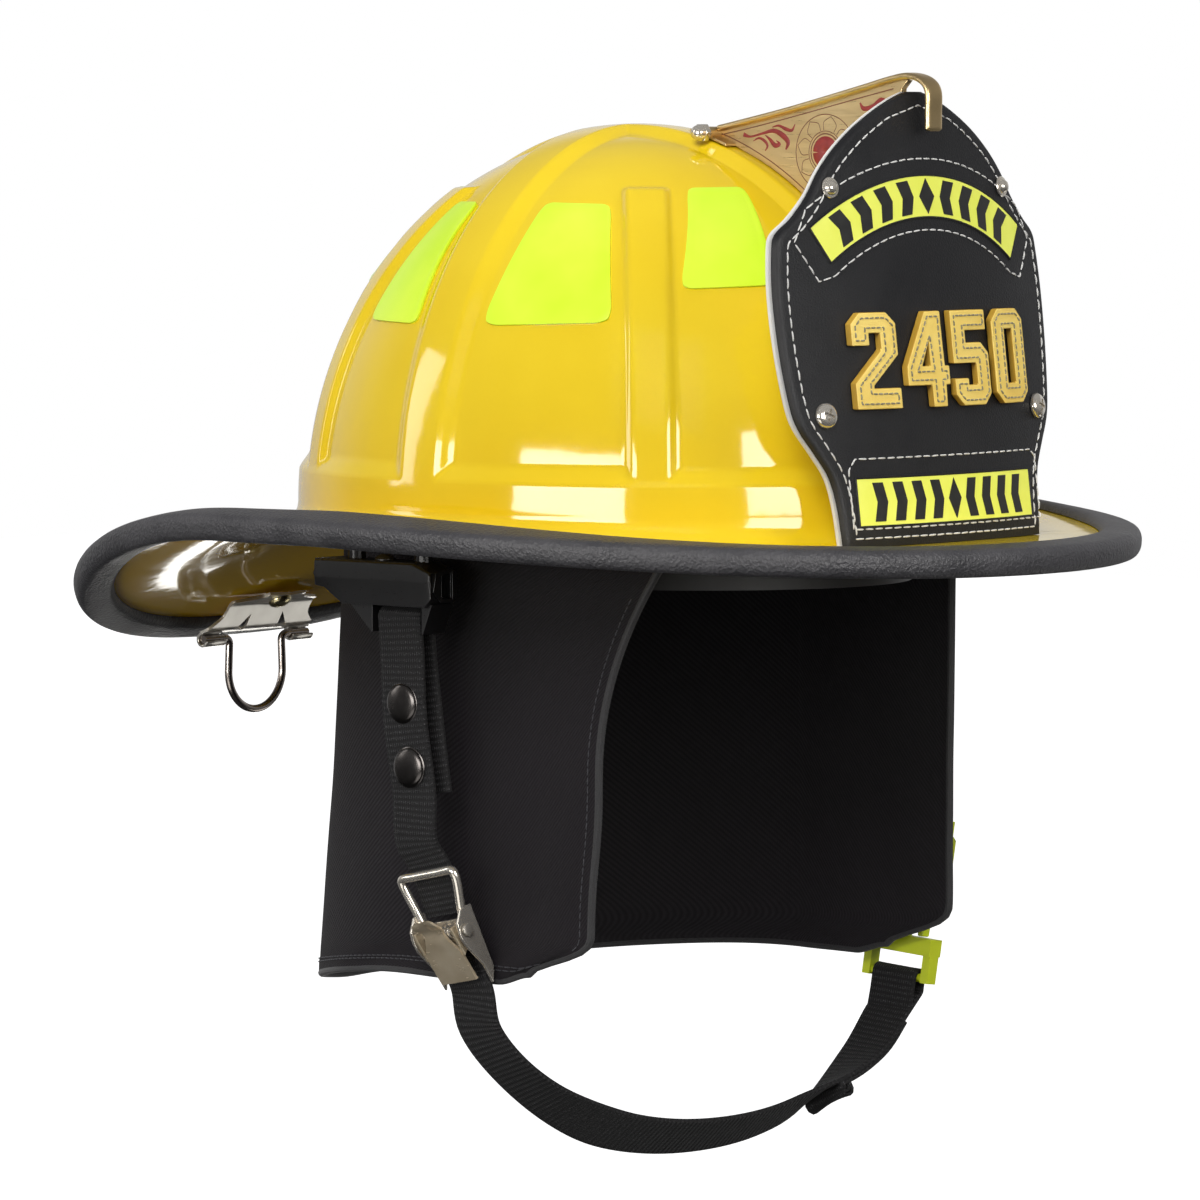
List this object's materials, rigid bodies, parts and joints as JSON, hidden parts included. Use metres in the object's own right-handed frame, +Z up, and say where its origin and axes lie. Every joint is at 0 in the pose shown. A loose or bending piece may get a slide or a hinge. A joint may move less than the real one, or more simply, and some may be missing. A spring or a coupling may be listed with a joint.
{
  "type": "firefighter helmet",
  "caption": "Traditional firefighter helmet with ribbed dome, wide brim and tail, front shield, reflective panels, ear and neck drape, and buckled chin strap.",
  "frame": {"origin": "centre of the headband, level with the middle of the brim's sides", "axes": "+Z up through the crown, the front of the helmet faces -Y, the wearer's left is +X"},
  "size_m": [0.2952, 0.3774, 0.365],
  "materials": {
    "shell_yellow": "gloss moulded yellow",
    "trim_black": "matt pebbled black",
    "foam_grey": "rigid foam",
    "cap_black": "moulded black",
    "pad_black": "soft knitted cover",
    "webbing_black": "ribbed woven webbing",
    "drape_black": "dense dark twill",
    "bracket_black": "satin black",
    "buckle_lime": "satin lime",
    "nickel": "polished nickel plate",
    "brass": "brushed, lightly lacquered",
    "leather_black": "fine grain black",
    "leather_white": "plain white",
    "leather_gold": "gold coloured",
    "reflective_lime": "fluorescent lime-yellow film"
  },
  "bodies": {
    "helmet": {"arc_panel": "reflective_lime", "bracket_left": "bracket_black", "bracket_pin_left": "nickel", "bracket_pin_right": "nickel", "bracket_right": "bracket_black", "brow_pad": "pad_black", "buckle_female": "buckle_lime", "buckle_male": "buckle_lime", "chin_strap": "webbing_black", "crown_strap_1": "webbing_black", "crown_strap_2": "webbing_black", "crown_strap_3": "webbing_black", "digit_1": "leather_gold", "digit_2": "leather_gold", "digit_3": "leather_gold", "digit_4": "leather_gold", "ear_neck_drape": "drape_black", "edge_trim": "trim_black", "front_holder": "brass", "hanger_plate": "nickel", "hanger_screw": "nickel", "headband": "cap_black", "holder_bolt": "nickel", "holder_nut": "nickel", "impact_liner": "foam_grey", "inner_cap": "cap_black", "leather_front": "leather_black", "lower_panel": "reflective_lime", "nape_pad": "pad_black", "ratchet_housing": "cap_black", "shell": "shell_yellow", "shield_backing": "leather_white", "shield_rivet_left": "nickel", "shield_rivet_right": "nickel", "shield_screw_left": "nickel", "shield_screw_right": "nickel", "slide_frame": "nickel", "slide_pin": "nickel", "slide_spring": "nickel", "snap_1": "nickel", "snap_2": "nickel", "strap_upper_left": "webbing_black", "strap_upper_right": "webbing_black", "tetrahedron_left_1": "reflective_lime", "tetrahedron_left_2": "reflective_lime", "tetrahedron_left_3": "reflective_lime", "tetrahedron_left_4": "reflective_lime", "tetrahedron_right_1": "reflective_lime", "tetrahedron_right_2": "reflective_lime", "tetrahedron_right_3": "reflective_lime", "tetrahedron_right_4": "reflective_lime"},
    "adjuster": {"ratchet_pinion": "bracket_black", "ratchet_knob": "bracket_black"},
    "left_rack": {"rack_left": "cap_black"},
    "right_rack": {"rack_right": "cap_black"},
    "ring": {"hanger_ring": "nickel"},
    "lever": {"slide_lever": "nickel"},
    "rear_prong": {"prong_rear": "buckle_lime"},
    "front_prong": {"prong_front": "buckle_lime"}
  },
  "joints": [
    {"name": "adjuster_turn", "type": "hinge", "parent": "helmet", "child": "adjuster", "pos_m": [0, 0.093, -0.012], "axis": [0, 1, 0], "range_deg": [-60, 60]},
    {"name": "left_rack_slide", "type": "slide", "parent": "helmet", "child": "left_rack", "axis": [1, 0, 0], "range_m": [-0.006, 0.006]},
    {"name": "right_rack_slide", "type": "slide", "parent": "helmet", "child": "right_rack", "axis": [-1, 0, 0], "range_m": [-0.006, 0.006]},
    {"name": "ring_swing", "type": "hinge", "parent": "helmet", "child": "ring", "pos_m": [0, 0.1804, -0.0543], "axis": [1, 0, 0], "range_deg": [-70, 70]},
    {"name": "lever_lift", "type": "hinge", "parent": "helmet", "child": "lever", "pos_m": [-0.10047, -0.0014, -0.13811], "axis": [0.0631, 0.9755, -0.2106], "range_deg": [0, 45], "stiffness_Nm_per_rad": 0.06, "springref_deg": -5.73},
    {"name": "rear_prong_press", "type": "hinge", "parent": "helmet", "child": "rear_prong", "pos_m": [0.09644, -0.03098, -0.15225], "axis": [0.9915, 0, -0.1302], "range_deg": [0, 7], "stiffness_Nm_per_rad": 0.2},
    {"name": "front_prong_press", "type": "hinge", "parent": "helmet", "child": "front_prong", "pos_m": [0.09631, -0.04775, -0.15325], "axis": [-0.9915, 0, 0.1302], "range_deg": [0, 7], "stiffness_Nm_per_rad": 0.2}
  ],
  "couplings": [
    {"joint": "left_rack_slide", "follows": "adjuster_turn", "m_per_rad": 0.0055},
    {"joint": "right_rack_slide", "follows": "adjuster_turn", "m_per_rad": 0.0055}
  ]
}
